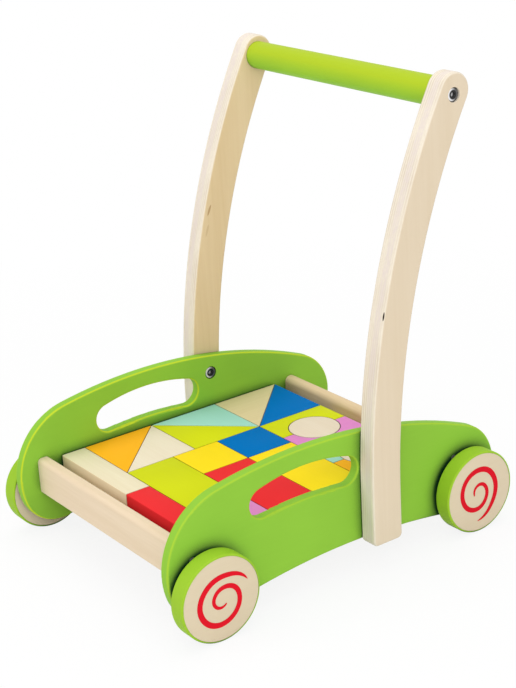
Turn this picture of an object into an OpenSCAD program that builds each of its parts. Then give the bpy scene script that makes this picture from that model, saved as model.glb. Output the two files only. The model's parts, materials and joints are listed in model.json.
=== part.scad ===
// Baby push walker: two side panels carry a tray of building blocks between four wheels, and two
// curved arms hold a round handle bar. Millimetres, +Z up, the front faces -Y, right is +X.
// The origin lies on the floor, midway between the axles and between the side panels.

/* [Blocks] */
// Height of the blocks
block_h = 30; // [20:1:36]
// Gap between neighbouring blocks
block_gap = 0.3; // [0.2:0.1:1]
// Radius of the round cut in the arch blocks
arch_cut_r = 30; // [24:0.5:34]
// Gap between a drum block and the arches round it
drum_gap = 0.5; // [0.3:0.1:2]

/* [Tray] */
// Inner width of the tray, between the side panels
tray_w = 282; // [276:1:310]
// Room between the blocks and the left side panel
slack_left = 3.5; // [1.3:0.1:6]
// Room between the blocks and the right side panel
slack_right = 8.5; // [1.3:0.1:12]
// Room between the blocks and the front board
slack_front = 14; // [4:0.5:30]
// Room between the blocks and the rear board
slack_rear = 18.8; // [4:0.1:30]
// Thickness of the tray floor
floor_t = 6; // [4:0.5:8]
// Depth of the groove that holds the tray floor in each side panel
groove_depth = 5; // [3:0.5:6]
// Clearance of the tray floor in its grooves
groove_clear = 0.15; // [0.1:0.05:0.4]
// Height between the top of the axles and the underside of the tray floor
axle_floor_gap = 6.1; // [4:0.1:12]

/* [Boards] */
// Thickness of the front and rear boards
board_t = 15; // [14.5:0.5:18]
// Height of the front and rear boards
board_h = 41; // [36:1:46]
// How far the boards hang below the tray floor
board_drop = 2.1; // [0:0.1:4]
// Radius along the top edges of the front board
front_edge_r = 5; // [2:0.5:7]
// Radius along the top edges of the rear board
rear_edge_r = 7; // [2:0.5:7]
// Radius along the bottom edges of the boards
board_foot_r = 2; // [1:0.5:4]

/* [Wheels] */
// Outer diameter of the wheels
wheel_d = 94.5; // [84:0.5:104]
// Width of the wheels
wheel_w = 20; // [17:0.5:26]
// Thickness of the coloured band round a wheel
band_t = 2; // [2:0.1:4]
// Radius along the edges of the band
band_edge_r = 1.9; // [0.5:0.1:1.9]
// Distance between the axles
wheelbase = 348; // [338:1:380]
// Distance from the front end of the tray back to the front axle
front_axle_gap = 6.4; // [3:0.1:10]
// Distance from the rear end of the tray back to the rear axle
rear_axle_gap = 21.6; // [18:0.1:25]
// Gap between a wheel and its side panel
wheel_gap = 6; // [4:0.1:9]

/* [Axles] */
// Diameter of the axles
axle_d = 8; // [6:0.5:9]
// Depth of the blind hole in a wheel
hub_depth = 13; // [8:0.5:16]
// Room between the end of an axle and the bottom of its blind hole
axle_end_gap = 0.3; // [0.1:0.1:1]
// Running clearance between axle and bush, on the radius
axle_clear = 0.08; // [0.03:0.01:0.1]
// Outer diameter of the bushes
bush_d = 14; // [12:0.5:16]
// Diameter of a bush's flange
bush_flange_d = 22; // [18:0.5:26]
// Thickness of a bush's flange
bush_flange_t = 2; // [1:0.1:2.4]
// Outer diameter of the washers
washer_d = 18; // [13:0.5:22]
// Free play of a wheel along its axle
wheel_play = 0.2; // [0.1:0.05:0.4]

/* [Side panels] */
// Thickness of the side panels
panel_t = 12.5; // [11:0.5:16]
// Radius along the edges of the side panels
panel_edge_r = 2.5; // [1:0.5:4]
// Radius of the front lobe round the axle
front_lobe_r = 45.8; // [43:0.2:49]
// Height of the front lobe's centre over the axle
front_lobe_up = 13.4; // [10:0.1:17]
// How far the front lobe's centre lies behind the axle
front_lobe_in = 3.1; // [0:0.1:6]
// Radius of the front shoulder
front_shoulder_r = 79.7; // [70:0.1:90]
// Tilt of the line from the front lobe's centre to the front shoulder's
front_shoulder_tilt = 18.9; // [14:0.1:24]
// Radius of the long top edge
crown_r = 590; // [520:2:700]
// Radius of the rear shoulder
rear_shoulder_r = 57.3; // [54:0.1:64]
// Tilt of the line from the rear lobe's centre to the rear shoulder's
rear_shoulder_tilt = 5.4; // [0:0.1:12]
// Radius of the rear lobe round the axle
rear_lobe_r = 47.7; // [45:0.1:51]
// Height of the rear lobe's centre over the axle
rear_lobe_up = 16.7; // [12:0.1:20]
// How far the rear lobe's centre lies in front of the axle
rear_lobe_in = 2.4; // [0:0.1:6]
// Radius of the hollow in the lower edge
hollow_r = 813; // [700:1:1000]

/* [Hand slots] */
// Distance between the centres of a slot's round ends
slot_span = 106.6; // [94:0.2:112]
// Radius of a slot's round ends
slot_end_r = 16.4; // [13:0.2:19]
// Radius of a slot's upper edge
slot_top_r = 209; // [180:1:320]
// Radius of a slot's lower edge
slot_bottom_r = 449; // [320:1:800]
// Height of a slot's ends over the axles
slot_up = 70.1; // [67:0.1:74]
// How far a slot's middle lies in front of the middle of the wheelbase
slot_forward = 45.5; // [42:0.5:52]
// Radius along the edges of a slot
slot_edge_r = 2.5; // [1:0.5:4]

/* [Push arms] */
// Thickness of the arms
arm_t = 22; // [17:0.5:24]
// Width of the arms
arm_w = 39; // [35:0.5:44]
// Radius of the bend, at the middle of an arm
arm_bend_r = 853; // [700:1:1200]
// Height over the axles at which the bend starts
arm_bend_up = 44; // [36:0.5:60]
// Place of an arm's straight part behind the middle of the wheelbase
arm_back = 45.5; // [42:0.5:50]
// Distance from the handle bar's axis to the middle of an arm's round end, along the arm
arm_end_len = 3.5; // [0:0.5:6]
// Height of the arms' lower ends over the floor
arm_foot_z = 29.5; // [22:0.5:34]
// Radius at the corners of the lower ends
arm_foot_r = 6; // [4:0.5:10]
// Radius along the edges of the arms
arm_edge_r = 3; // [1:0.5:4]

/* [Handle] */
// Diameter of the handle bar
bar_d = 31; // [24:0.5:34]
// Height of the handle bar's axis over the floor
bar_z = 493.5; // [440:0.5:540]
// Diameter of a threaded insert in the bar
bar_insert_d = 10; // [8.5:0.5:14]
// Length of a threaded insert in the bar
bar_insert_len = 24; // [16:1:40]

/* [Fasteners] */
// Diameter of the bolts
bolt_d = 6; // [4:0.5:7]
// Clearance of a bolt in its hole, on the radius
bolt_clear = 0.3; // [0.15:0.05:0.6]
// Diameter of the bolt heads
head_d = 14.5; // [12:0.5:16]
// Height of the bolt heads
head_h = 2.5; // [2:0.1:3]
// Radius of the rounded rim of the bolt heads
head_rim_r = 1.2; // [0.4:0.1:1.4]
// Width of the hexagon socket across its flats
socket_w = 5; // [4:0.1:6]
// Depth of the hexagon socket
socket_depth = 1.8; // [1:0.1:1.9]
// Depth of the seat of an arm bolt's head in the side panel
arm_bolt_sink = 3; // [2:0.1:3.5]
// Depth of the seat of a handle bolt's head in its arm
handle_bolt_sink = 4; // [2:0.1:6]
// Room round a bolt's head in its seat, on the radius
head_room = 0.5; // [0.2:0.1:1]
// Diameter of a threaded insert in an arm
arm_insert_d = 9; // [8.5:0.5:12]
// Length of a threaded insert in an arm
arm_insert_len = 13; // [10:0.5:14]
// Height of the upper arm bolts over the axles
upper_bolt_up = 85.5; // [78:0.5:90]
// Height of the lower arm bolts over the axles
lower_bolt_up = 0; // [-2:0.5:1]
// How far the arm bolts lie in front of the middle of an arm
arm_bolt_forward = 2; // [0:0.5:4]
// Diameter of the board screws
screw_d = 4; // [3:0.5:5]
// Head diameter of the board screws
screw_head_d = 8; // [7:0.5:10]
// Length of the board screws
screw_len = 46; // [36:1:60]
// Distance between the two screws in the end of a board
screw_pitch = 20; // [16:1:22]
// How far the two screws lie under the middle of the board's height
screw_drop = 1.5; // [0:0.5:2]
// Clearance of fitted pieces, on the radius
fit_clear = 0.05; // [0.02:0.01:0.1]

/* [Hidden] */
$fn = 96;
overlap = 1;
// Cells of the block grid, across and along the tray
block_columns = 9;
block_rows = 10;

// Heights
axle_z = wheel_d / 2;
floor_z = axle_z + axle_d / 2 + axle_floor_gap;
block_z = floor_z + floor_t;
board_z = floor_z - board_drop;
screw_mid_z = board_z + board_h / 2 - screw_drop;

// Places across the walker, from the middle outwards
panel_in = tray_w / 2;
panel_out = panel_in + panel_t;
arm_out = panel_out + arm_t;
wheel_in = panel_out + wheel_gap;
axle_half = wheel_in + hub_depth - axle_end_gap;
block_x0 = slack_left - panel_in;
cell_w = (tray_w - slack_left - slack_right) / block_columns;

// Places along the walker, from the front backwards
front_axle_y = -wheelbase / 2;
rear_axle_y = wheelbase / 2;
tray_front = front_axle_y - front_axle_gap;
tray_back = rear_axle_y - rear_axle_gap;
tray_len = tray_back - tray_front;
block_y0 = tray_front + slack_front;
cell_l = (tray_len - slack_front - slack_rear) / block_rows;
board_ys = [tray_front - board_t / 2, tray_back + board_t / 2];

// Push arms and handle bar
bend_z = axle_z + arm_bend_up;
bend_centre = [arm_back + arm_bend_r, bend_z];
bend_angle = asin((bar_z - bend_z) / arm_bend_r);
bar_y = bend_centre[0] - arm_bend_r * cos(bend_angle);
end_angle = bend_angle + arm_end_len / arm_bend_r * 180 / PI;
arm_end = polar(bend_centre, arm_bend_r, 180 - end_angle);
arm_bolt_y = arm_back - arm_bolt_forward;
arm_bolt_zs = [axle_z + lower_bolt_up, axle_z + upper_bolt_up];
bolt_seat_r = head_d / 2 + head_room;

// Centres of the arcs round a side panel, each tangent to its neighbours
function heading(a, b) = atan2(b[1] - a[1], b[0] - a[0]);
function polar(c, r, a) = c + r * [cos(a), sin(a)];
function turn(a, b) = (b - a + 720) % 360;
// Meeting point, on the right of the way from a to b, of circles of radius ra and rb round them
function meet(a, ra, b, rb) =
    let (d = norm(b - a), k = (ra * ra - rb * rb + d * d) / (2 * d))
    a + k * (b - a) / d + sqrt(ra * ra - k * k) * [b[1] - a[1], a[0] - b[0]] / d;

front_lobe = [front_axle_y + front_lobe_in, axle_z + front_lobe_up];
rear_lobe = [rear_axle_y - rear_lobe_in, axle_z + rear_lobe_up];
front_shoulder = polar(front_lobe, front_shoulder_r - front_lobe_r, front_shoulder_tilt);
rear_shoulder = polar(rear_lobe, rear_shoulder_r - rear_lobe_r, 180 + rear_shoulder_tilt);
crown = meet(front_shoulder, crown_r - front_shoulder_r, rear_shoulder, crown_r - rear_shoulder_r);
hollow = meet(front_lobe, hollow_r + front_lobe_r, rear_lobe, hollow_r + rear_lobe_r);

a_front_foot = heading(front_lobe, hollow);
a_front = heading(front_shoulder, front_lobe);
a_crown_front = heading(crown, front_shoulder);
a_crown_rear = heading(crown, rear_shoulder);
a_rear = heading(rear_shoulder, rear_lobe);
a_rear_foot = heading(rear_lobe, hollow);
a_hollow_front = heading(hollow, front_lobe);
a_hollow_rear = heading(hollow, rear_lobe);

// Where two rounded edges of a panel meet: a point inside the solid and one outside, on the line through
// the centres of both arcs. side is 1 where the inside of the named arc is solid, -1 where its outside is.
function gate(c, r, a, side, wide) =
    [polar(c, r - side * (wide + overlap), a), polar(c, r + side * overlap, a)];

panel_wide = panel_edge_r + 2 * overlap;
front_foot = gate(front_lobe, front_lobe_r, a_front_foot, 1, panel_wide);
front_gate = gate(front_lobe, front_lobe_r, a_front, 1, panel_wide);
crown_front_gate = gate(crown, crown_r, a_crown_front, 1, panel_wide);
crown_rear_gate = gate(crown, crown_r, a_crown_rear, 1, panel_wide);
rear_gate = gate(rear_lobe, rear_lobe_r, a_rear, 1, panel_wide);
rear_foot = gate(rear_lobe, rear_lobe_r, a_rear_foot, 1, panel_wide);

// Each arc is its centre, radius, first and last angle, side, and the gates at its two ends
front_lobe_arc = [front_lobe, front_lobe_r, a_front, a_front_foot, 1, front_gate, front_foot];
hollow_arc = [hollow, hollow_r, a_hollow_rear, a_hollow_front, -1, rear_foot, front_foot];
rear_lobe_arc = [rear_lobe, rear_lobe_r, a_rear_foot, a_rear, 1, rear_foot, rear_gate];
rear_shoulder_arc =
    [rear_shoulder, rear_shoulder_r, a_rear, a_crown_rear, 1, rear_gate, crown_rear_gate];
crown_arc = [crown, crown_r, a_crown_rear, a_crown_front, 1, crown_rear_gate, crown_front_gate];
front_shoulder_arc =
    [front_shoulder, front_shoulder_r, a_crown_front, a_front, 1, crown_front_gate, front_gate];

// Centres of the arcs round a hand slot
slot_y = -slot_forward;
slot_z = axle_z + slot_up;
slot_ends = [[slot_y - slot_span / 2, slot_z], [slot_y + slot_span / 2, slot_z]];
slot_top = meet(slot_ends[0], slot_top_r - slot_end_r, slot_ends[1], slot_top_r - slot_end_r);
slot_bottom = meet(slot_ends[0], slot_bottom_r + slot_end_r, slot_ends[1], slot_bottom_r + slot_end_r);
a_top = [for (e = slot_ends) heading(slot_top, e)];
a_bottom = [for (e = slot_ends) heading(slot_bottom, e)];
a_under = [for (e = slot_ends) heading(e, slot_bottom)];
slot_wide = slot_edge_r + 2 * overlap;
slot_top_gates = [for (k = [0, 1]) gate(slot_ends[k], slot_end_r, a_top[k], -1, slot_wide)];
slot_bottom_gates = [for (k = [0, 1]) gate(slot_ends[k], slot_end_r, a_under[k], -1, slot_wide)];
slot_top_arc = [slot_top, slot_top_r, a_top[1], a_top[0], -1, slot_top_gates[1], slot_top_gates[0]];
slot_front_arc =
    [slot_ends[0], slot_end_r, a_top[0], a_under[0], -1, slot_top_gates[0], slot_bottom_gates[0]];
slot_bottom_arc =
    [slot_bottom, slot_bottom_r, a_bottom[1], a_bottom[0], 1, slot_bottom_gates[1], slot_bottom_gates[0]];
slot_rear_arc =
    [slot_ends[1], slot_end_r, a_under[1], a_top[1], -1, slot_bottom_gates[1], slot_top_gates[1]];

// Points along an arc drawn into the solid by a given amount, without the last one or without the first
arc_steps = 8;
function arc_point(arc, inset, k) =
    polar(arc[0], arc[1] - arc[4] * inset, arc[2] + turn(arc[2], arc[3]) * k / arc_steps);
function forth(arc, inset) = [for (k = [0 : arc_steps - 1]) arc_point(arc, inset, k)];
function back(arc, inset) = [for (k = [arc_steps : -1 : 1]) arc_point(arc, inset, k)];

leaf_green = [0.58, 0.78, 0.22];
bar_green = [0.66, 0.80, 0.22];
plain_wood = [0.92, 0.82, 0.69];
plywood = [0.89, 0.82, 0.70];
steel = [0.75, 0.76, 0.78];
nylon = [0.90, 0.90, 0.88];
block_red = [0.94, 0.24, 0.25];
block_orange = [0.99, 0.72, 0.15];
block_lime = [0.86, 0.89, 0.14];
block_mint = [0.61, 0.83, 0.69];
block_blue = [0.02, 0.45, 0.73];
block_yellow = [0.99, 0.87, 0.17];
block_pink = [0.88, 0.56, 0.75];
block_natural = [0.93, 0.88, 0.75];
block_cream = [0.86, 0.80, 0.60];

// Turn a flat shape so that it stands along the walker and its thickness runs to the right
module stand(x = 0) {
    translate([x, 0, 0])
        rotate([90, 0, 90])
            children();
}

module both_sides() {
    children();
    mirror([1, 0, 0])
        children();
}

// Strip from x = 0 to x = w, rounded along its far edge
module rounded_strip(w, t, r) {
    square([w - r, t]);
    translate([0, r])
        square([w, t - 2 * r]);
    for (low = [0, t - r])
        intersection() {
            translate([w - r, low == 0 ? r : t - r])
                circle(r);
            translate([w - r, low])
                square(r);
        }
}

module rounded_bar(w, t, r) {
    translate([r, 0])
        square([w - 2 * r, t]);
    translate([0, r])
        square([w, t - 2 * r]);
    for (x = [r, w - r], y = [r, t - r])
        translate([x, y])
            circle(r);
}

// Move in the whole and the broken part of a place apart, which keeps every digit of it
module exactly_at(p) {
    whole = [floor(p[0]), floor(p[1])];
    translate(whole)
        translate(p - whole)
            children();
}

// Rounded edge of a side panel along an arc, cut off at the gates at its two ends
module rounded_edge(arc, edge) {
    c = arc[0];
    r = arc[1];
    side = arc[4];
    wide = edge + 2 * overlap;
    quarter = turn(arc[2], arc[3]) / 4;
    far = (side > 0 ? r + overlap : r + wide + overlap) / cos(quarter);
    near_end = side > 0 ? 0 : 1;
    far_end = 1 - near_end;
    intersection() {
        exactly_at(c)
            rotate_extrude()
                translate([r - side * wide, 0])
                    mirror([side < 0 ? 1 : 0, 0])
                        rounded_strip(wide, panel_t, edge);
        translate([0, 0, -overlap])
            linear_extrude(panel_t + 2 * overlap)
                polygon([
                    arc[5][near_end], arc[5][far_end],
                    polar(c, far, arc[2] + quarter), polar(c, far, arc[2] + 3 * quarter),
                    arc[6][far_end], arc[6][near_end]
                ]);
    }
}

// Plate of a side panel inside its rounded edges
module panel_core() {
    inset = panel_edge_r + overlap;
    grow = slot_edge_r + overlap;
    linear_extrude(panel_t)
        difference() {
            polygon(concat(
                forth(front_lobe_arc, inset), back(hollow_arc, inset),
                forth(rear_lobe_arc, inset), forth(rear_shoulder_arc, inset),
                forth(crown_arc, inset), forth(front_shoulder_arc, inset)
            ));
            polygon(concat(
                forth(slot_top_arc, grow), forth(slot_front_arc, grow),
                back(slot_bottom_arc, grow), forth(slot_rear_arc, grow)
            ));
        }
}

// Side panel with rounded edges all round and in its hand slot, before it is drilled
module panel_plate() {
    panel_core();
    rounded_edge(front_lobe_arc, panel_edge_r);
    rounded_edge(hollow_arc, panel_edge_r);
    rounded_edge(rear_lobe_arc, panel_edge_r);
    rounded_edge(rear_shoulder_arc, panel_edge_r);
    rounded_edge(crown_arc, panel_edge_r);
    rounded_edge(front_shoulder_arc, panel_edge_r);
    rounded_edge(slot_top_arc, slot_edge_r);
    rounded_edge(slot_front_arc, slot_edge_r);
    rounded_edge(slot_bottom_arc, slot_edge_r);
    rounded_edge(slot_rear_arc, slot_edge_r);
}

// Countersunk screw along the thickness of a panel, its head flush with z = 0, pointing to -z
module screw_form(clear) {
    head_r = screw_head_d / 2 + clear;
    shank_r = screw_d / 2 + clear;
    translate([0, 0, -(head_r - shank_r)])
        cylinder(h = head_r - shank_r, r1 = shank_r, r2 = head_r);
    translate([0, 0, -screw_len - clear])
        cylinder(h = screw_len + clear, r = shank_r);
}

module at_board_screws() {
    for (y = board_ys, side = [-1, 1])
        translate([y, screw_mid_z + side * screw_pitch / 2, panel_out])
            children();
}

module at_arm_bolts() {
    for (z = arm_bolt_zs)
        translate([arm_bolt_y, z, 0])
            children();
}

// Right side panel, in the standing frame
module side_panel() {
    stand()
        difference() {
            translate([0, 0, panel_in])
                panel_plate();
            for (y = [front_axle_y, rear_axle_y])
                translate([y, axle_z, panel_in - overlap])
                    cylinder(h = panel_t + 2 * overlap, r = bush_d / 2 + fit_clear);
            at_arm_bolts()
                translate([0, 0, panel_in - overlap])
                    cylinder(h = panel_t + 2 * overlap, r = bolt_d / 2 + bolt_clear);
            at_arm_bolts()
                translate([0, 0, panel_in - overlap])
                    cylinder(h = overlap + arm_bolt_sink, r = bolt_seat_r);
            at_board_screws()
                screw_form(fit_clear);
            translate([tray_front, floor_z - groove_clear, panel_in - overlap])
                cube([tray_len, floor_t + 2 * groove_clear, groove_depth + overlap]);
        }
}

module right_side_panel() {
    color(leaf_green)
        side_panel();
}

module left_side_panel() {
    color(leaf_green)
        mirror([1, 0, 0])
            side_panel();
}

// Board across the tray, rounded along its four long edges
module cross_board(y, edge_r) {
    difference() {
        stand(-panel_in)
            translate([y - board_t / 2, board_z])
                linear_extrude(tray_w) {
                    translate([0, board_foot_r])
                        square([board_t, board_h - board_foot_r - edge_r]);
                    translate([edge_r, board_foot_r])
                        square([board_t - 2 * edge_r, board_h - board_foot_r]);
                    translate([board_foot_r, 0])
                        square([board_t - 2 * board_foot_r, board_h - edge_r]);
                    for (x = [edge_r, board_t - edge_r])
                        translate([x, board_h - edge_r])
                            circle(edge_r);
                    for (x = [board_foot_r, board_t - board_foot_r])
                        translate([x, board_foot_r])
                            circle(board_foot_r);
                }
        both_sides()
            stand()
                at_board_screws()
                    screw_form(fit_clear);
    }
}

module front_board() {
    color(plain_wood)
        cross_board(board_ys[0], front_edge_r);
}

module rear_board() {
    color(plain_wood)
        cross_board(board_ys[1], rear_edge_r);
}

module tray_floor() {
    half = panel_in + groove_depth - groove_clear;
    color(plywood)
        translate([-half, tray_front + groove_clear, floor_z])
            cube([2 * half, tray_len - 2 * groove_clear, floor_t]);
}

// Right push arm before it is drilled: bend, round upper end, straight part and rounded foot
module arm_plate() {
    low = arm_foot_z + arm_foot_r;
    front = arm_back - arm_w / 2;
    across = [-cos(end_angle), sin(end_angle)];
    along = [sin(end_angle), cos(end_angle)];
    reach = arm_w / 2 + overlap;
    quarter = end_angle / 4;
    far = (arm_bend_r + reach) / cos(quarter);
    end_sides = [arm_end - reach * across, arm_end + reach * across];
    intersection() {
        translate(bend_centre)
            rotate_extrude()
                translate([arm_bend_r - arm_w / 2, 0])
                    rounded_bar(arm_w, arm_t, arm_edge_r);
        translate([0, 0, -overlap])
            linear_extrude(arm_t + 2 * overlap)
                polygon([
                    end_sides[0], end_sides[1],
                    polar(bend_centre, far, 180 - 3 * quarter), polar(bend_centre, far, 180 - quarter),
                    [front - overlap, bend_z], [front + arm_w + overlap, bend_z]
                ]);
    }
    intersection() {
        exactly_at(arm_end)
            rotate_extrude()
                rounded_strip(arm_w / 2, arm_t, arm_edge_r);
        translate([0, 0, -overlap])
            linear_extrude(arm_t + 2 * overlap)
                polygon([
                    end_sides[0], end_sides[1],
                    end_sides[1] + reach * along, end_sides[0] + reach * along
                ]);
    }
    translate([front, bend_z])
        rotate([90, 0, 0])
            linear_extrude(bend_z - low)
                rounded_bar(arm_w, arm_t, arm_edge_r);
    for (side = [0, 1])
        translate([side == 0 ? front + arm_foot_r : front + arm_w - arm_foot_r, low])
            rotate(180 + 90 * side)
                rotate_extrude(angle = 90)
                    rounded_strip(arm_foot_r, arm_t, arm_edge_r);
    translate([front + arm_foot_r, low])
        rotate([0, 90, 0])
            linear_extrude(arm_w - 2 * arm_foot_r)
                rotate(-90)
                    translate([0, -arm_t])
                        rounded_strip(arm_foot_r, arm_t, arm_edge_r);
}

// Right push arm, in the standing frame
module push_arm() {
    stand(panel_out)
        difference() {
            arm_plate();
            translate([bar_y, bar_z, -overlap])
                cylinder(h = arm_t + 2 * overlap, r = bolt_d / 2 + bolt_clear);
            translate([bar_y, bar_z, arm_t - handle_bolt_sink])
                cylinder(h = handle_bolt_sink + overlap, r = bolt_seat_r);
            at_arm_bolts()
                translate([0, 0, -overlap])
                    cylinder(h = arm_insert_len + overlap, r = arm_insert_d / 2 + fit_clear);
        }
}

module right_push_arm() {
    color(plywood)
        push_arm();
}

module left_push_arm() {
    color(plywood)
        mirror([1, 0, 0])
            push_arm();
}

module handle_bar() {
    color(bar_green)
        stand()
            translate([bar_y, bar_z, 0])
                difference() {
                    translate([0, 0, -panel_out])
                        cylinder(h = 2 * panel_out, d = bar_d);
                    for (side = [0, 1])
                        mirror([0, 0, side])
                            translate([0, 0, panel_out - bar_insert_len])
                                cylinder(h = bar_insert_len + overlap, r = bar_insert_d / 2 + fit_clear);
                }
}

// Threaded insert from z = 0 to z = len
module insert_form(d, len) {
    difference() {
        cylinder(h = len, d = d);
        translate([0, 0, -overlap])
            cylinder(h = len + 2 * overlap, r = bolt_d / 2 + fit_clear);
    }
}

// Bolt with a low rounded head from z = 0 up and its shank pointing to -z
module bolt_form(len) {
    difference() {
        union() {
            rotate_extrude() {
                square([head_d / 2, head_h - head_rim_r]);
                square([head_d / 2 - head_rim_r, head_h]);
                intersection() {
                    translate([head_d / 2 - head_rim_r, head_h - head_rim_r])
                        circle(head_rim_r);
                    square([head_d / 2, head_h]);
                }
            }
            translate([0, 0, -len])
                cylinder(h = len + overlap, d = bolt_d);
        }
        translate([0, 0, head_h - socket_depth])
            cylinder(h = socket_depth + overlap, d = socket_w / cos(30), $fn = 6);
    }
}

module handle_bolts() {
    color(steel)
        both_sides()
            stand()
                translate([bar_y, bar_z, arm_out - handle_bolt_sink])
                    bolt_form(arm_t - handle_bolt_sink + bar_insert_len - 2 * overlap);
}

module handle_inserts() {
    color(steel)
        both_sides()
            stand()
                translate([bar_y, bar_z, panel_out - bar_insert_len])
                    insert_form(bar_insert_d, bar_insert_len);
}

module arm_bolts() {
    color(steel)
        both_sides()
            stand()
                at_arm_bolts()
                    translate([0, 0, panel_in + arm_bolt_sink])
                        mirror([0, 0, 1])
                            bolt_form(panel_t - arm_bolt_sink + arm_insert_len - 2 * overlap);
}

module arm_inserts() {
    color(steel)
        both_sides()
            stand()
                at_arm_bolts()
                    translate([0, 0, panel_out])
                        insert_form(arm_insert_d, arm_insert_len);
}

module board_screws() {
    color(steel)
        both_sides()
            stand()
                at_board_screws()
                    screw_form(0);
}

module axle_bushes() {
    color(nylon)
        both_sides()
            stand()
                for (y = [front_axle_y, rear_axle_y])
                    translate([y, axle_z, panel_in])
                        difference() {
                            union() {
                                cylinder(h = panel_t + overlap, d = bush_d);
                                translate([0, 0, panel_t])
                                    cylinder(h = bush_flange_t, d = bush_flange_d);
                            }
                            translate([0, 0, -overlap])
                                cylinder(h = panel_t + bush_flange_t + 2 * overlap,
                                         r = axle_d / 2 + axle_clear);
                        }
}

module axle(y) {
    color(steel)
        stand(-axle_half)
            translate([y, axle_z])
                cylinder(h = 2 * axle_half, d = axle_d);
}

module front_axle() {
    axle(front_axle_y);
}

module rear_axle() {
    axle(rear_axle_y);
}

module washers(y) {
    thick = wheel_gap - bush_flange_t - wheel_play;
    color(steel)
        both_sides()
            stand(wheel_in - thick)
                translate([y, axle_z])
                    difference() {
                        cylinder(h = thick, d = washer_d);
                        translate([0, 0, -overlap])
                            cylinder(h = thick + 2 * overlap, r = axle_d / 2 + fit_clear);
                    }
}

module front_washers() {
    washers(front_axle_y);
}

module rear_washers() {
    washers(rear_axle_y);
}

// Wooden disc with a blind hole in its inner face, on the right at side = 1 or the left at side = -1
module wheel(y, side) {
    color(plain_wood)
        mirror([side < 0 ? 1 : 0, 0, 0])
            stand(wheel_in)
                translate([y, axle_z])
                    difference() {
                        cylinder(h = wheel_w, r = wheel_d / 2 - band_t - fit_clear);
                        translate([0, 0, -overlap])
                            cylinder(h = hub_depth + overlap, r = axle_d / 2 + fit_clear);
                    }
}

module band(y, side) {
    color(bar_green)
        mirror([side < 0 ? 1 : 0, 0, 0])
            stand(wheel_in)
                translate([y, axle_z])
                    rotate_extrude()
                        translate([wheel_d / 2 - band_t, 0])
                            rounded_strip(band_t, wheel_w, band_edge_r);
}

module front_left_wheel() {
    wheel(front_axle_y, -1);
}

module front_right_wheel() {
    wheel(front_axle_y, 1);
}

module rear_left_wheel() {
    wheel(rear_axle_y, -1);
}

module rear_right_wheel() {
    wheel(rear_axle_y, 1);
}

module front_left_band() {
    band(front_axle_y, -1);
}

module front_right_band() {
    band(front_axle_y, 1);
}

module rear_left_band() {
    band(rear_axle_y, -1);
}

module rear_right_band() {
    band(rear_axle_y, 1);
}

// Move to a cell of the block grid, counted from the front left corner of the tray
module at_cell(x, y) {
    translate([block_x0 + x * cell_w, block_y0 + y * cell_l, block_z])
        children();
}

module slab(x, y, wide, long) {
    at_cell(x, y)
        translate([block_gap / 2, block_gap / 2, 0])
            cube([wide * cell_w - block_gap, long * cell_l - block_gap, block_h]);
}

// Right-angled prism with its right angle on a cell corner, its legs along x and y to either side
module triangle(x, y, to_x, to_y) {
    across = 3 * cell_w;
    along = 3 * cell_l;
    slant = norm([across, along]);
    near = block_gap / 2;
    far_x = across - near * (across + slant) / along;
    far_y = along - near * (along + slant) / across;
    corners = [[near, near], [far_x, near], [near, far_y]];
    at_cell(x, y)
        linear_extrude(block_h)
            polygon([for (p = corners) [to_x * p[0], to_y * p[1]]]);
}

// Half of a round opening: cut_x is the side of the block that the opening lies on
module arch(x, y, cut_x) {
    difference() {
        slab(x, y, 1.5, 3);
        at_cell(cut_x, y + 1.5)
            translate([0, 0, -overlap])
                cylinder(h = block_h + 2 * overlap, r = arch_cut_r);
    }
}

module drum(x, y) {
    at_cell(x, y)
        cylinder(h = block_h, r = arch_cut_r - drum_gap);
}

module natural_beam() {
    color(block_natural)
        slab(0, 0, 4.5, 1);
}

module red_beam() {
    color(block_red)
        slab(4.5, 0, 4.5, 1);
}

module orange_triangle() {
    color(block_orange)
        triangle(0, 1, 1, 1);
}

module natural_triangle() {
    color(block_natural)
        triangle(3, 4, -1, -1);
}

module mint_triangle() {
    color(block_mint)
        triangle(0, 7, 1, -1);
}

module lime_triangle() {
    color(block_lime)
        triangle(3, 4, -1, 1);
}

module cream_triangle() {
    color(block_cream)
        triangle(0, 7, 1, 1);
}

module blue_triangle() {
    color(block_blue)
        triangle(3, 10, -1, -1);
}

module lime_slab() {
    color(block_lime)
        slab(3, 1, 4, 2);
}

module pink_square() {
    color(block_pink)
        slab(7, 1, 2, 2);
}

module yellow_square() {
    color(block_yellow)
        slab(3, 3, 2, 2);
}

module red_slab() {
    color(block_red)
        slab(5, 3, 4, 2);
}

module blue_square() {
    color(block_blue)
        slab(3, 5, 2, 2);
}

module yellow_slab() {
    color(block_yellow)
        slab(5, 5, 4, 2);
}

module lime_arch() {
    color(block_lime)
        arch(3, 7, 4.5);
}

module pink_arch() {
    color(block_pink)
        arch(4.5, 7, 4.5);
}

module left_drum() {
    color(plain_wood)
        drum(4.5, 8.5);
}

module mint_arch() {
    color(block_mint)
        arch(6, 7, 7.5);
}

module orange_arch() {
    color(block_orange)
        arch(7.5, 7, 7.5);
}

module right_drum() {
    color(plain_wood)
        drum(7.5, 8.5);
}

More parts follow.
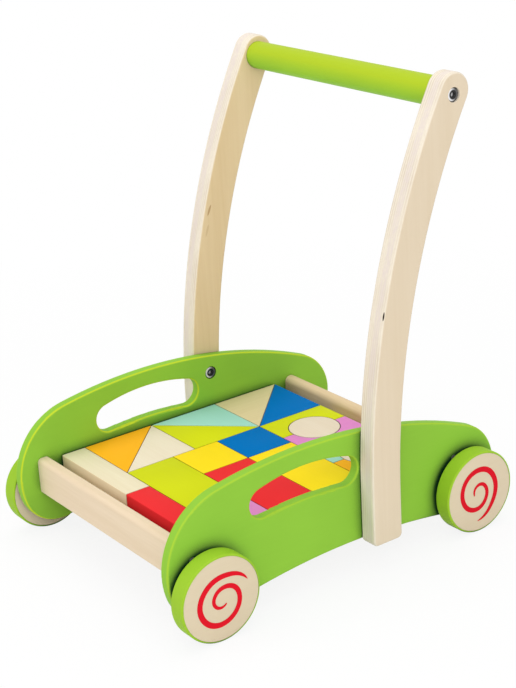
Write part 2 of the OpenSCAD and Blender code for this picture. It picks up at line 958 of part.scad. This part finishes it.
left_side_panel();
right_side_panel();
front_board();
rear_board();
tray_floor();
left_push_arm();
right_push_arm();
handle_bar();
handle_bolts();
handle_inserts();
arm_bolts();
arm_inserts();
board_screws();
axle_bushes();
front_axle();
rear_axle();
front_washers();
rear_washers();
front_left_wheel();
front_right_wheel();
rear_left_wheel();
rear_right_wheel();
front_left_band();
front_right_band();
rear_left_band();
rear_right_band();
natural_beam();
red_beam();
orange_triangle();
natural_triangle();
mint_triangle();
lime_triangle();
cream_triangle();
blue_triangle();
lime_slab();
pink_square();
yellow_square();
red_slab();
blue_square();
yellow_slab();
lime_arch();
pink_arch();
left_drum();
mint_arch();
orange_arch();
right_drum();
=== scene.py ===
import json
import math

import bmesh
import bpy
from mathutils import Matrix, Vector


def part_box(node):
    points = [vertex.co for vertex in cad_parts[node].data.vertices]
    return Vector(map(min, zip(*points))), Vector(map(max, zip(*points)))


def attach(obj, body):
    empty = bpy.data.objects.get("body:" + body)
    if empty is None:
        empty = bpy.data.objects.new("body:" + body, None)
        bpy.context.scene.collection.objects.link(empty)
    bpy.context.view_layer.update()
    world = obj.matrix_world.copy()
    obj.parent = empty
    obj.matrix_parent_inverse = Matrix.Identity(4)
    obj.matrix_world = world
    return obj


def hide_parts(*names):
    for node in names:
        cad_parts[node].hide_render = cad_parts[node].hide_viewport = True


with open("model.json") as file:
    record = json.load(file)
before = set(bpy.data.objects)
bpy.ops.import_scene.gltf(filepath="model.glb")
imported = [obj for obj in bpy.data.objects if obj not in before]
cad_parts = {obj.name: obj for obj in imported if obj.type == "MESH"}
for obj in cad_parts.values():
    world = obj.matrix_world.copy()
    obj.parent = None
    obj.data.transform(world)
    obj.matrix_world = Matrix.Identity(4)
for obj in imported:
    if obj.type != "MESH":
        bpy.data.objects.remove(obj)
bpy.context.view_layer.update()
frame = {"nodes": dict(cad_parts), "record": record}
nodes = frame["nodes"]
scene = bpy.context.scene

# Camera, fitted to the photograph
image_h = 688
focal_px = 1631.8
sensor_mm = 36.0
camera_place = Vector((1.3595, -0.9475, 0.85135))
camera_azimuth = math.radians(54.71)
camera_elevation = math.radians(20.89)
camera_roll = math.radians(-3.37)

# Light: the world's share, and each lamp's power, place and size
world_light = 0.7
lamps = {
    "key": (14.0, (1.9, -1.5, 1.9), 1.3),
    "top": (13.0, (-0.2, 0.0, 2.3), 1.6),
    "right": (9.0, (2.3, -0.3, 1.1), 1.4),
    "left": (7.0, (-0.8, -2.1, 1.5), 0.8),
}
light_aim = Vector((0.0, 0.0, 0.2))

# Floor: its size, its tone, and its share of plain white beside the object and away from it
floor_size = 30.0
floor_tone = (0.9, 0.9, 0.9, 1.0)
floor_white = (0.87, 1.0)
floor_fade = (0.25, 1.1)

# Rounded edges of wheels and blocks, and the angles at which faces are joined, rounded and creased
block_edge = 0.0009
wheel_edge = 0.0006
edge_segments = 3
flat_angle = math.radians(0.5)
sharp_angle = math.radians(35)
crease_angle = math.radians(50)
same_place = 1e-6

# Plywood: the thickness of a ply, and where the core lies, measured from the walker's middle plane
ply_t = 0.0015
ply_core = (0.1620, 0.1725)
core_fade = 0.002

# Bolt heads: the slopes of the painted dark reflection ring round the socket, in shares of the head's
# radius
dark_ring_rise = (0.24, 0.34)
dark_ring_fall = (0.70, 0.62)

# Shade in gaps: its reach, and how open a surface lies where the shade is full and where it ends
left_panel_gap = (0.028, 0.26, 0.72)
right_panel_gap = (0.042, 0.26, 0.76)
bar_gap = (0.04, 0.26, 0.74)
band_gap = (0.03, 0.15, 0.6)
wood_gap = (0.03, 0.05, 0.3)
block_gap = (0.005, 0.4, 0.95)
steel_gap = (0.03, 0.0, 0.15)

# Painted spiral: its radius at each sixth of a turn from the inner tip, its stroke and its tapers
spiral_radii = [0.0083, 0.0093, 0.0096, 0.0097, 0.0127, 0.0196,
                0.0247, 0.0279, 0.0268, 0.0239, 0.0254, 0.0345]
spiral_step = math.radians(60)
spiral_start = math.radians(314)
spiral_end = 10.93
spiral_points = 160
spiral_width = 0.0070
inner_taper = 0.32
outer_taper = (16, 0.7)
slope_step = 0.01
paint_lift = 0.00015
rear_turn = math.radians(-116.3)

# Marks in the plywood, with place, size and lean: a void in the right arm's edge, streaks on the left arm
edge_void = ((0.1741, 0.0478, 0.2840), (0.0008, 0.0060, 0.0052), 0.0)
face_streak = ((-0.1535, 0.0655, 0.3255), (0.0040, 0.0015, 0.0075), math.radians(-24))
faint_streak = ((-0.1535, 0.0607, 0.3018), (0.0040, 0.0016, 0.0080), math.radians(-20))


def add_camera():
    """Camera with the fitted place, turn and focal length."""
    back = Vector((
        math.sin(camera_azimuth) * math.cos(camera_elevation),
        -math.cos(camera_azimuth) * math.cos(camera_elevation),
        math.sin(camera_elevation),
    ))
    level_right = (-back).cross(Vector((0, 0, 1))).normalized()
    level_up = level_right.cross(-back)
    cos_roll = math.cos(camera_roll)
    sin_roll = math.sin(camera_roll)
    right = cos_roll * level_right + sin_roll * level_up
    up = cos_roll * level_up - sin_roll * level_right
    data = bpy.data.cameras.new("camera")
    data.sensor_fit = "VERTICAL"
    data.sensor_height = sensor_mm
    data.lens = focal_px / image_h * sensor_mm
    camera = bpy.data.objects.new("camera", data)
    turn = Matrix((right, up, back)).transposed()
    camera.matrix_world = Matrix.Translation(camera_place) @ turn.to_4x4()
    scene.collection.objects.link(camera)
    scene.camera = camera


def linear(red, green, blue):
    """A colour of 0 to 255 per channel as Blender's linear colour."""
    def channel(value):
        value /= 255
        return value / 12.92 if value <= 0.04045 else ((value + 0.055) / 1.055) ** 2.4
    return (channel(red), channel(green), channel(blue), 1.0)


def shade(colour, amount):
    return tuple(c * amount for c in colour[:3]) + (1.0,)


# Painted shade: the dark colours that paint and plastic take in gaps and deep corners
gap_shade_green = linear(6, 58, 34)
gap_shade_brown = linear(62, 42, 20)


class Material:
    """A node material, with short calls that add and join its nodes."""

    def __init__(self, name):
        self.data = bpy.data.materials.new(name)
        self.data.use_nodes = True
        self.tree = self.data.node_tree
        self.shader = self.tree.nodes["Principled BSDF"]
        self.place = self.add("ShaderNodeTexCoord").outputs["Object"]

    def add(self, kind, inputs=None, **settings):
        node = self.tree.nodes.new(kind)
        for key, value in settings.items():
            setattr(node, key, value)
        for key, value in (inputs or {}).items():
            self.put(node.inputs[key], value)
        return node

    def put(self, socket, value):
        if isinstance(value, bpy.types.NodeSocket):
            self.tree.links.new(value, socket)
        else:
            socket.default_value = value

    def stretch(self, scale, turn=(0, 0, 0)):
        inputs = {"Vector": self.place, "Scale": scale, "Rotation": turn}
        return self.add("ShaderNodeMapping", inputs).outputs["Vector"]

    def noise(self, place, scale, detail=2.0, roughness=0.5):
        inputs = {"Vector": place, "Scale": scale, "Detail": detail, "Roughness": roughness}
        return self.add("ShaderNodeTexNoise", inputs).outputs["Fac"]

    def math(self, operation, a, b=0.0):
        return self.add("ShaderNodeMath", {0: a, 1: b}, operation=operation).outputs[0]

    def weighted(self, *parts):
        """Sum of the given values, each times its weight."""
        total = 0.0
        for value, weight in parts:
            inputs = {0: value, 1: weight, 2: total}
            total = self.add("ShaderNodeMath", inputs, operation="MULTIPLY_ADD").outputs[0]
        return total

    def length(self, vector):
        return self.add("ShaderNodeVectorMath", {0: vector}, operation="LENGTH").outputs["Value"]

    def spread(self, value, low, high, to_low=0.0, to_high=1.0):
        inputs = {"Value": value, "From Min": low, "From Max": high, "To Min": to_low, "To Max": to_high}
        return self.add("ShaderNodeMapRange", inputs).outputs["Result"]

    def window(self, value, rise, fall):
        """1 between two slopes and 0 outside, each slope given from its foot to its top."""
        return self.math("MULTIPLY", self.spread(value, *rise), self.spread(value, *fall))

    def mix(self, factor, a, b):
        node = self.add("ShaderNodeMix", data_type="RGBA")
        self.put(node.inputs[0], factor)
        self.put(node.inputs[6], a)
        self.put(node.inputs[7], b)
        return node.outputs[2]

    def position(self, axis):
        return self.add("ShaderNodeSeparateXYZ", {"Vector": self.place}).outputs[axis]

    def normal(self, axis):
        normal = self.add("ShaderNodeNewGeometry").outputs["Normal"]
        return self.add("ShaderNodeSeparateXYZ", {"Vector": normal}).outputs[axis]

    def facing(self):
        """1 on a face square to X, down to 0 on an edge along it."""
        return self.math("ABSOLUTE", self.normal("X"))

    def with_gap_shade(self, base, dark, gap):
        """The base colour in the open, and painted shade, the dark colour, in narrow gaps and deep
        corners.
        """
        reach, full, none = gap
        # Painted shade: ambient occlusion darkens the base colour where near parts hem the surface in.
        node = self.add("ShaderNodeAmbientOcclusion", {"Distance": reach}, samples=12)
        return self.mix(self.spread(node.outputs["AO"], full, none), dark, base)

    def bump(self, height, strength, distance):
        inputs = {"Height": height, "Strength": strength, "Distance": distance}
        return self.add("ShaderNodeBump", inputs).outputs["Normal"]

    def finish(self, **inputs):
        for key, value in inputs.items():
            self.put(self.shader.inputs[key.replace("_", " ")], value)
        return self.data


def paint(name, colour, along, gap, dark, gloss=0.015, edge_highlight=None, top_highlight=None):
    """Satin paint on wood: slow drift in tone, faint grain and a fine orange peel, with painted shade in
    gaps.

    An edge highlight, its colour and strength, is a painted highlight on the rounded edges of a board
    that stands across X. A top highlight is a painted highlight, another colour on the upper side of a
    round bar.
    """
    m = Material(name)
    drift = m.noise(m.place, 7.0)
    grain = m.noise(m.stretch(along), 1.0, 4.0, 0.6)
    peel = m.noise(m.place, 900.0)
    tone = m.weighted((drift, 0.85), (grain, 0.15))
    base = m.mix(m.spread(tone, 0.3, 0.7), shade(colour, 0.93), shade(colour, 1.05))
    if edge_highlight:
        highlight_colour, strength = edge_highlight
        # Painted highlight: a yellower tone on the rounded edges, where the faces turn away from X.
        edge = m.window(m.facing(), (0.15, 0.5), (0.98, 0.8))
        base = m.mix(m.math("MULTIPLY", edge, strength), base, highlight_colour)
    if top_highlight:
        # Painted highlight: the upper side of the bar turns to a yellower green.
        base = m.mix(m.spread(m.normal("Z"), -0.6, 0.5), base, top_highlight)
    return m.finish(
        Base_Color=m.with_gap_shade(base, dark, gap),
        Roughness=m.spread(grain, 0.2, 0.8, 0.38, 0.5),
        Normal=m.bump(m.weighted((grain, 0.6), (peel, 0.4)), 0.08, 0.0003),
        Specular_IOR_Level=gloss,
    )


def lacquer(m, base, dark, fibres, gap):
    """Finish of clear lacquer on wood, with the fibres in its sheen and relief, and painted shade in gaps.
    """
    return m.finish(
        Base_Color=m.with_gap_shade(base, shade(dark, 0.12), gap),
        Roughness=m.spread(fibres, 0.2, 0.8, 0.5, 0.62),
        Normal=m.bump(fibres, 0.1, 0.0003),
        Specular_IOR_Level=0.15,
    )


def wood(name, light, dark, along, turn=(0, 0, 0), figure=0.45, gap=wood_gap, front=None):
    """Pale lacquered wood: soft growth lines and fine fibres, both drawn out along the grain.

    A front is a painted light: the colour of the faces that look to the front, paler as if more light fell
    on them.
    """
    m = Material(name)
    slow = tuple(0.12 * scale for scale in along)
    lines = m.noise(m.stretch(slow, turn), 1.0, 3.0, 0.55)
    fibres = m.noise(m.stretch(along, turn), 1.0, 5.0, 0.7)
    drift = m.noise(m.place, 9.0)
    tone = m.weighted((lines, figure), (fibres, 0.9 - figure), (drift, 0.1))
    base = m.mix(m.spread(tone, 0.32, 0.68), dark, light)
    # Painted light: the faces that look to the front take the paler front colour.
    if front:
        lit_front_wood = m.mix(fibres, shade(front, 0.92), front)
        base = m.mix(m.spread(m.normal("Y"), -0.5, -0.9), base, lit_front_wood)
    return lacquer(m, base, dark, fibres, gap)


def ply_edge(m, light, dark, core_tone):
    """Colour of a sawn edge: plies across X with worn glue lines, pores and a streaky core."""
    wave = m.math("MULTIPLY", m.noise(m.place, 18.0), 0.0006)
    depth = m.math("ADD", m.math("ABSOLUTE", m.position("X")), wave)
    pair = m.math("FRACT", m.math("DIVIDE", depth, 2 * ply_t))
    off_middle = m.math("ABSOLUTE", m.math("SUBTRACT", pair, 0.5))
    layer = m.spread(off_middle, 0.22, 0.28)
    off_glue = m.math("ABSOLUTE", m.math("SUBTRACT", off_middle, 0.25))
    worn = m.spread(m.noise(m.stretch((40, 40, 12)), 1.0), 0.35, 0.65)
    glue = m.math("MULTIPLY", m.spread(off_glue, 0.0, 0.06, 0.3, 0.0), worn)
    pores = m.noise(m.stretch((700, 700, 120)), 1.0, 3.0)
    edge = m.mix(m.math("MULTIPLY", layer, worn), light, dark)
    edge = m.mix(m.spread(pores, 0.45, 0.75, 0.0, 0.3), edge, shade(dark, 0.88))
    edge = m.mix(glue, edge, shade(dark, 0.8))
    inner, outer = ply_core
    core = m.window(depth, (inner, inner + core_fade), (outer, outer - core_fade))
    streaks = m.spread(m.noise(m.stretch((420, 420, 12)), 1.0, 3.0), 0.35, 0.65, 0.25, 0.9)
    return m.mix(m.math("MULTIPLY", core, streaks), edge, core_tone)


def with_marks(m, colour, marks):
    """The colour with oval marks in it, each with its form, tint and strength."""
    for (place, size, lean), tint, strength in marks:
        inputs = {"Vector": m.place, "Location": place, "Scale": size, "Rotation": (lean, 0, 0)}
        spot = m.add("ShaderNodeMapping", inputs, vector_type="TEXTURE").outputs["Vector"]
        colour = m.mix(m.spread(m.length(spot), 0.75, 1.0, strength, 0.0), colour, tint)
    return colour


def plywood(name, light, dark, edges, marks):
    """Plywood standing across X: veneer with upright grain on its faces, plies and a core on its edges."""
    m = Material(name)
    lines = m.noise(m.stretch((30, 30, 1.6)), 1.0, 3.0, 0.55)
    fibres = m.noise(m.stretch((260, 260, 9)), 1.0, 5.0, 0.7)
    drift = m.noise(m.place, 6.0)
    tone = m.weighted((lines, 0.5), (fibres, 0.3), (drift, 0.2))
    face = m.mix(m.spread(tone, 0.35, 0.65), dark, light)
    base = m.mix(m.spread(m.facing(), 0.75, 0.97), ply_edge(m, *edges), face)
    return lacquer(m, with_marks(m, base, marks), dark, fibres, wood_gap)


def heads_with_painted_reflection(m, node, colour):
    """Colour of polished bolt heads that face along X, a painted reflection: bright towards the front,
    dark round the socket.

    The node holds one head on each side, or two, one above the other.
    """
    low, high = (Vector(corner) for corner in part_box(node))
    middle = (low + high) / 2
    head_r = (high.y - low.y) / 2
    half_pitch = (high.z - low.z) / 2 - head_r
    across = m.math("SUBTRACT", m.position("Y"), middle.y)
    off_middle = m.math("ABSOLUTE", m.math("SUBTRACT", m.position("Z"), middle.z))
    height = m.math("SUBTRACT", off_middle, half_pitch)
    spot = m.add("ShaderNodeCombineXYZ", {"X": across, "Y": height}).outputs[0]
    share = m.math("DIVIDE", m.length(spot), head_r)
    # Painted reflection: the head is bright on its front side and dark on its back side.
    glint = m.spread(across, 0.4 * head_r, -0.4 * head_r)
    head = m.mix(glint, shade(colour, 0.15), colour)
    return m.mix(m.window(share, dark_ring_rise, dark_ring_fall), head, shade(colour, 0.03))


def metal(name, colour, roughness, heads=None):
    """Plated steel with a faint turned finish, with painted shade in sockets and a painted dark reflection
    on the rounded rims of bolt heads.
    """
    m = Material(name)
    scratches = m.noise(m.stretch((60, 900, 900)), 1.0, 3.0)
    base = m.mix(scratches, shade(colour, 0.9), colour)
    if heads:
        # Painted reflection on the bolt heads: dark on their rounded rims, the ringed pattern on their
        # faces.
        base = m.mix(m.spread(m.facing(), 0.7, 0.97), shade(colour, 0.06), heads_with_painted_reflection(m, heads, colour))
    return m.finish(
        Base_Color=m.with_gap_shade(base, shade(colour, 0.02), steel_gap),
        Roughness=m.spread(scratches, 0.2, 0.8, roughness * 0.8, roughness * 1.3),
        Normal=m.bump(scratches, 0.05, 0.0001),
        Metallic=0.7,
    )


def plastic(name, colour, dark):
    """Matt plastic with a fine moulded texture, and painted shade in gaps."""
    m = Material(name)
    grain = m.noise(m.place, 1500.0)
    drift = m.noise(m.place, 25.0)
    base = m.mix(drift, shade(colour, 0.94), shade(colour, 1.03))
    return m.finish(
        Base_Color=m.with_gap_shade(base, dark, band_gap),
        Roughness=m.spread(grain, 0.3, 0.7, 0.5, 0.65),
        Normal=m.bump(grain, 0.1, 0.0001),
        Specular_IOR_Level=0.12,
    )


def body_of(node):
    bodies = frame["record"]["behaviour"]["bodies"]
    return next(body for body, held in bodies.items() if node in held)


def give(node, material):
    data = nodes[node].data
    data.materials.clear()
    data.materials.append(material)


def add_piece(name, bm, material, node):
    """A new piece from a finished mesh, which rides on the body of a CAD node."""
    mesh = bpy.data.meshes.new(name)
    bm.to_mesh(mesh)
    bm.free()
    mesh.materials.append(material)
    piece = bpy.data.objects.new(name, mesh)
    scene.collection.objects.link(piece)
    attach(piece, body_of(node))
    return piece


def add_softened(node, width, material):
    """A copy of a CAD node with its sharp edges rounded, which stands for the node."""
    bm = bmesh.new()
    bm.from_mesh(nodes[node].data)
    bmesh.ops.remove_doubles(bm, verts=bm.verts, dist=same_place)
    bmesh.ops.dissolve_limit(bm, angle_limit=flat_angle, verts=bm.verts, edges=bm.edges)
    sharp = [edge for edge in bm.edges if edge.is_manifold and edge.calc_face_angle(0.0) > sharp_angle]
    bmesh.ops.bevel(bm, geom=sharp, offset=width, segments=edge_segments, profile=0.5, affect="EDGES")
    for face in bm.faces:
        face.smooth = True
    piece = add_piece(node + "_soft", bm, material, node)
    piece.data.set_sharp_from_angle(angle=crease_angle)
    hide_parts(node)


def spiral_radius(position):
    """Smooth curve through the spiral's radii, counted in sixths of a turn."""
    last = len(spiral_radii) - 1
    i = min(int(position), last - 1)
    t = position - i
    a, b, c, d = (spiral_radii[min(max(i + k, 0), last)] for k in (-1, 0, 1, 2))
    bend = (2 * a - 5 * b + 4 * c - d) * t ** 2 + (3 * b - a - 3 * c + d) * t ** 3
    return (2 * b + (c - a) * t + bend) / 2


def spiral_point(position):
    angle = spiral_start - position * spiral_step
    return Vector((math.cos(angle), math.sin(angle))) * spiral_radius(position)


def spiral_edges(share):
    """The two edges of the tapered stroke, at a share of its way from the inner tip."""
    position = spiral_end * share
    point = spiral_point(position)
    ahead = spiral_point(position + slope_step) - spiral_point(position - slope_step)
    across = Vector((-ahead.y, ahead.x)).normalized()
    late, ease = outer_taper
    half = spiral_width / 2 * share ** inner_taper * (1 - share ** late) ** ease
    return (point - across * half, point + across * half)


def add_spiral(wheel, side, turned, material):
    """Tapered spiral painted on a wheel's outer face, a film that stands just proud of the wood."""
    low, high = (Vector(corner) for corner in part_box(wheel))
    middle = (low + high) / 2
    face_x = (high.x if side > 0 else low.x) + side * paint_lift
    turn = Matrix.Rotation(turned, 2)
    bm = bmesh.new()
    rows = []
    for k in range(spiral_points + 1):
        row = [turn @ edge for edge in spiral_edges(k / spiral_points)]
        rows.append([bm.verts.new((face_x, middle.y + side * y, middle.z + z)) for y, z in row])
    for a, b in zip(rows, rows[1:]):
        bm.faces.new((a[0], a[1], b[1], b[0]))
    bmesh.ops.remove_doubles(bm, verts=bm.verts, dist=same_place)
    wall = bmesh.ops.extrude_face_region(bm, geom=bm.faces[:])["geom"]
    for vert in (item for item in wall if isinstance(item, bmesh.types.BMVert)):
        vert.co.x -= side * 2 * paint_lift
    bmesh.ops.recalc_face_normals(bm, faces=bm.faces)
    add_piece(wheel + "_spiral", bm, material, wheel)


def white_to_camera(tree):
    """1 for a ray that shows the background directly, in metal or through glass, otherwise 0."""
    path = tree.nodes.new("ShaderNodeLightPath")
    total = path.outputs["Is Camera Ray"]
    for name in ("Is Glossy Ray", "Is Transmission Ray"):
        node = tree.nodes.new("ShaderNodeMath")
        node.operation = "MAXIMUM"
        tree.links.new(total, node.inputs[0])
        tree.links.new(path.outputs[name], node.inputs[1])
        total = node.outputs[0]
    return total


def add_floor():
    """White floor that keeps the object's soft shadow and turns plain white away from it."""
    bpy.ops.mesh.primitive_plane_add(size=floor_size)
    floor = bpy.context.object
    floor.name = "floor"
    m = Material("floor")
    m.tree.nodes.remove(m.shader)
    fade = m.spread(m.length(m.place), *floor_fade, *floor_white)
    white = m.math("MULTIPLY", white_to_camera(m.tree), fade)
    shaded = m.add("ShaderNodeBsdfDiffuse", {"Color": floor_tone}).outputs[0]
    plain = m.add("ShaderNodeEmission").outputs[0]
    mixed = m.add("ShaderNodeMixShader", {0: white, 1: shaded, 2: plain}).outputs[0]
    m.put(m.tree.nodes["Material Output"].inputs["Surface"], mixed)
    floor.data.materials.append(m.data)


def add_world():
    """Even white light all round, which the camera sees as plain white."""
    world = bpy.data.worlds.new("studio")
    world.use_nodes = True
    scene.world = world
    tree = world.node_tree
    background = tree.nodes["Background"]
    background.inputs["Color"].default_value = (1.0, 1.0, 1.0, 1.0)
    level = tree.nodes.new("ShaderNodeMapRange")
    level.inputs["To Min"].default_value = world_light
    level.inputs["To Max"].default_value = 1.0
    tree.links.new(white_to_camera(tree), level.inputs["Value"])
    tree.links.new(level.outputs["Result"], background.inputs["Strength"])


def add_lamps():
    for name, (power, place, size) in lamps.items():
        lamp = bpy.data.lights.new(name, "AREA")
        lamp.energy = power
        lamp.size = size
        piece = bpy.data.objects.new(name, lamp)
        piece.location = place
        piece.rotation_euler = (light_aim - Vector(place)).to_track_quat("-Z", "Y").to_euler()
        scene.collection.objects.link(piece)


def dress_panels():
    green = linear(144, 197, 65)
    highlight_green = linear(203, 216, 46)
    grain = (300, 14, 300)
    gloss = 0.03
    # Painted highlight on the panels' rounded edges, stronger on the left panel than on the right.
    for side, gap, highlight_strength in (("left", left_panel_gap, 0.8), ("right", right_panel_gap, 0.3)):
        edge_highlight = (highlight_green, highlight_strength)
        material = paint(side + "_panel_paint", green, grain, gap, gap_shade_green, gloss, edge_highlight)
        give(side + "_side_panel", material)


def dress_tray():
    across = (14, 320, 320)
    along = (300, 12, 300)
    give("front_board", wood("board_wood", linear(237, 217, 189), linear(226, 203, 171), across))
    give("rear_board", wood("rail_wood", linear(236, 213, 176), linear(212, 181, 136), across))
    give("tray_floor", wood("tray_ply", linear(225, 205, 170), linear(200, 172, 130), along))


def dress_arms():
    edges = (linear(237, 227, 209), linear(221, 207, 187), linear(227, 214, 206))
    void_brown = linear(34, 20, 12)
    streak_brown = linear(160, 116, 66)
    voids = [(edge_void, void_brown, 1.0)]
    streaks = [(face_streak, streak_brown, 0.6), (faint_streak, streak_brown, 0.22)]
    right_tones = (linear(227, 211, 186), linear(219, 201, 173))
    left_tones = (linear(230, 208, 168), linear(219, 194, 150))
    give("right_push_arm", plywood("right_arm_ply", *right_tones, edges, voids))
    give("left_push_arm", plywood("left_arm_ply", *left_tones, edges, streaks))


def dress_handle():
    green = linear(148, 204, 58)
    # Painted highlight: the bar's upper side takes this yellower green.
    top_highlight = linear(174, 198, 40)
    grain = (12, 300, 300)
    gloss = 0.06
    give("handle_bar", paint("bar_paint", green, grain, bar_gap, gap_shade_green, gloss, top_highlight=top_highlight))


def dress_fittings():
    bright = (0.86, 0.86, 0.87, 1.0)
    grey = (0.50, 0.51, 0.53, 1.0)
    milky = (0.86, 0.86, 0.84, 1.0)
    roughness = 0.3
    # The bright steel is the light side of the bolt heads' painted reflection.
    for node in ("handle_bolts", "arm_bolts"):
        give(node, metal(node + "_steel", bright, roughness, node))
    steel = metal("steel", grey, roughness)
    for node in ("handle_inserts", "arm_inserts", "board_screws",
                 "front_axle", "rear_axle", "front_washers", "rear_washers"):
        give(node, steel)
    give("axle_bushes", plastic("nylon", milky, gap_shade_brown))


def dress_wheels():
    red = paint("spiral_red", linear(218, 25, 42), (200, 200, 200), block_gap, gap_shade_brown)
    tread = plastic("band_green", linear(156, 199, 48), gap_shade_green)
    tones = (linear(220, 205, 177), linear(216, 200, 170))
    grain = (260, 16, 260)
    grain_lean = 0.4
    figure = 0.35
    for end, turned in (("front", 0.0), ("rear", rear_turn)):
        for side, name in ((-1, "left"), (1, "right")):
            wheel = f"{end}_{name}_wheel"
            turn = (turned + grain_lean * side, 0, 0)
            add_softened(wheel, wheel_edge, wood(wheel + "_wood", *tones, grain, turn, figure))
            give(f"{end}_{name}_band", tread)
            add_spiral(wheel, side, turned, red)


def dress_blocks():
    across = (16, 300, 300)
    along = (240, 15, 240)
    drum_tones = (linear(236, 222, 200), linear(228, 212, 186), across)
    tones = {
        "natural_beam": (linear(238, 228, 198), linear(227, 213, 178), across),
        "natural_triangle": (linear(238, 227, 203), linear(229, 215, 187), across),
        "cream_triangle": (linear(226, 211, 166), linear(213, 195, 145), along),
        "left_drum": drum_tones,
        "right_drum": drum_tones,
    }
    # Painted light: the natural beam's front face is paler, standing in for light on it.
    lit_fronts = {"natural_beam": linear(255, 236, 198)}
    woods = {node: wood(node + "_wood", *tone, gap=block_gap, front=lit_fronts.get(node))
             for node, tone in tones.items()}
    colours = {
        "red": linear(236, 50, 54), "orange": linear(253, 182, 36), "lime": linear(210, 217, 29),
        "mint": linear(165, 220, 202), "blue": linear(0, 114, 188), "yellow": linear(252, 222, 36),
        "pink": linear(224, 140, 200),
    }
    grain = (20, 260, 260)
    paints = {name: paint("block_" + name, colour, grain, block_gap, gap_shade_brown)
              for name, colour in colours.items()}
    # A block is the only node of a body with the same name, and a painted one is named after its colour
    for slot in frame["record"]["subparts"]:
        node = slot["node"]
        if body_of(node) == node:
            material = woods.get(node) or paints[node.split("_")[0]]
            add_softened(node, block_edge, material)


add_camera()
scene.view_settings.view_transform = "Standard"
add_floor()
add_world()
add_lamps()
dress_panels()
dress_tray()
dress_arms()
dress_handle()
dress_fittings()
dress_wheels()
dress_blocks()
